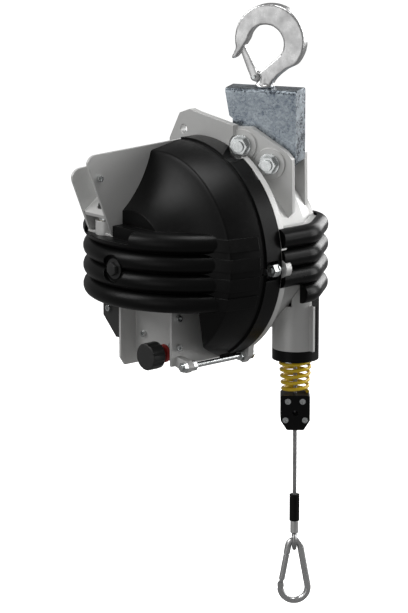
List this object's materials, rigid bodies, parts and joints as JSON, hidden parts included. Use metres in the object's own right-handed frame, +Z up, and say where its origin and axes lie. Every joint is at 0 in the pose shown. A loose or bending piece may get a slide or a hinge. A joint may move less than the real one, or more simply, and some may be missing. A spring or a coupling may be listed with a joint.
{
  "type": "tool balancer",
  "caption": "Heavy spring balancer: ribbed round body on a swivel safety hook, steel rope with buffer spring, stop clamp and snap hook.",
  "frame": {"origin": "where the beam or ring bears in the bowl of the safety hook, on the swivel axis", "axes": "+Z up along the hook's swivel axis; the rope drum turns about Y; the moulded front cover faces -Y; the rope hangs down on the +X side"},
  "size_m": [0.3399, 0.347, 0.8781],
  "materials": {
    "moulded_cover": "black moulded plastic, satin",
    "bumper_rubber": "black moulded rubber",
    "cast_aluminium": "sand cast aluminium, silver lacquer",
    "dark_casting": "dark grey casting",
    "galvanised_sheet": "zinc plated sheet, greenish passivation, mottled",
    "plated_steel": "zinc plated steel",
    "forged_steel": "forged steel, bright zinc plating",
    "black_steel": "blackened steel",
    "dark_steel": "oiled spring steel",
    "bronze": "sintered bronze",
    "red_plastic": "red plastic",
    "black_plastic": "black glass filled nylon",
    "dark_knob": "dark moulded knob",
    "yellow_paint": "yellow powder coated spring wire",
    "wire_rope": "galvanised wire rope",
    "black_rubber": "black rubber sleeve",
    "soft_alloy": "pressed aluminium",
    "bright_wire": "bright zinc plated round wire"
  },
  "bodies": {
    "housing": {"front_cover": "moulded_cover", "rear_bumper": "bumper_rubber", "main_housing": "cast_aluminium", "rear_cover": "cast_aluminium", "cover_screws": "plated_steel", "adjuster_housing": "cast_aluminium", "lock_housing": "cast_aluminium", "side_guard": "dark_casting", "suspension_bracket": "galvanised_sheet", "bracket_bolts": "plated_steel", "bracket_nuts": "plated_steel", "thrust_washer": "plated_steel", "worm_bush": "bronze", "shaft_bushes": "bronze", "lock_collar": "plated_steel", "lock_ring": "red_plastic", "box_screws": "plated_steel", "tie_rod": "plated_steel", "tie_rod_nuts": "plated_steel", "cover_studs": "plated_steel", "cover_nuts": "plated_steel", "cover_bolt": "black_steel", "rope_guide_front": "cast_aluminium", "rope_guide_rear": "black_plastic", "guide_ring": "black_plastic", "guide_bush": "black_plastic"},
    "hook": {"swivel_hook": "forged_steel", "hook_nut": "plated_steel", "latch_pin": "plated_steel"},
    "latch": {"hook_latch": "plated_steel"},
    "drum": {"rope_drum": "cast_aluminium", "drum_cap": "plated_steel", "drum_bushes": "bronze", "wound_rope": "wire_rope", "lock_disc": "dark_steel", "main_spring": "dark_steel"},
    "shaft": {"drum_shaft": "plated_steel", "spring_hub": "dark_steel", "worm_wheel": "bronze"},
    "worm": {"worm_shaft": "plated_steel"},
    "lock": {"lock_knob": "dark_knob", "lock_plunger": "plated_steel"},
    "load": {"buffer_spring": "yellow_paint", "clamp_front": "black_plastic", "clamp_rear": "black_plastic", "clamp_screws": "plated_steel", "rope": "wire_rope", "rubber_sleeve": "black_rubber", "ferrule": "soft_alloy", "thimble": "plated_steel", "rope_eye": "wire_rope"},
    "snap": {"carabiner": "bright_wire", "gate_pin": "bright_wire"},
    "gate": {"carabiner_gate": "bright_wire"}
  },
  "joints": [
    {"name": "drum_spin", "type": "hinge", "parent": "housing", "child": "drum", "pos_m": [-0.06324, 0.00021, -0.3208], "axis": [0, 1, 0], "range_deg": [0, 1200], "stiffness_Nm_per_rad": 0.4, "springref_deg": -2062.65},
    {"name": "rope_travel", "type": "slide", "parent": "housing", "child": "load", "axis": [0, 0, -1], "range_m": [0, 2], "deforming": ["rope"]},
    {"name": "hook_swivel", "type": "hinge", "parent": "housing", "child": "hook", "pos_m": [0, 0, -0.0898], "axis": [0, 0, 1], "continuous": true},
    {"name": "latch_open", "type": "hinge", "parent": "hook", "child": "latch", "pos_m": [-0.01169, -0.00675, -0.0748], "axis": [-0.5, 0.866, 0], "range_deg": [0, 40], "stiffness_Nm_per_rad": 0.03, "springref_deg": -28.65},
    {"name": "shaft_adjust", "type": "hinge", "parent": "housing", "child": "shaft", "pos_m": [-0.06324, -0.05979, -0.3208], "axis": [0, 1, 0], "range_deg": [-60, 60]},
    {"name": "worm_turn", "type": "hinge", "parent": "housing", "child": "worm", "pos_m": [-0.11174, -0.20079, -0.3208], "axis": [0, 0, 1], "range_deg": [-1800, 1800]},
    {"name": "lock_push", "type": "slide", "parent": "housing", "child": "lock", "axis": [0, 1, 0], "range_m": [0, 0.008]},
    {"name": "snap_swing", "type": "hinge", "parent": "load", "child": "snap", "pos_m": [0.03226, 0.03121, -0.75335], "axis": [0.6626, 0.749, 0], "range_deg": [-45, 45]},
    {"name": "gate_open", "type": "hinge", "parent": "snap", "child": "gate", "pos_m": [0.01938, 0.01665, -0.8206], "axis": [-0.749, 0.6626, 0], "range_deg": [0, 18], "stiffness_Nm_per_rad": 0.02, "springref_deg": -22.92}
  ],
  "couplings": [
    {"joint": "rope_travel", "follows": "drum_spin", "m_per_rad": 0.095492},
    {"joint": "worm_turn", "follows": "shaft_adjust", "ratio": 30}
  ]
}
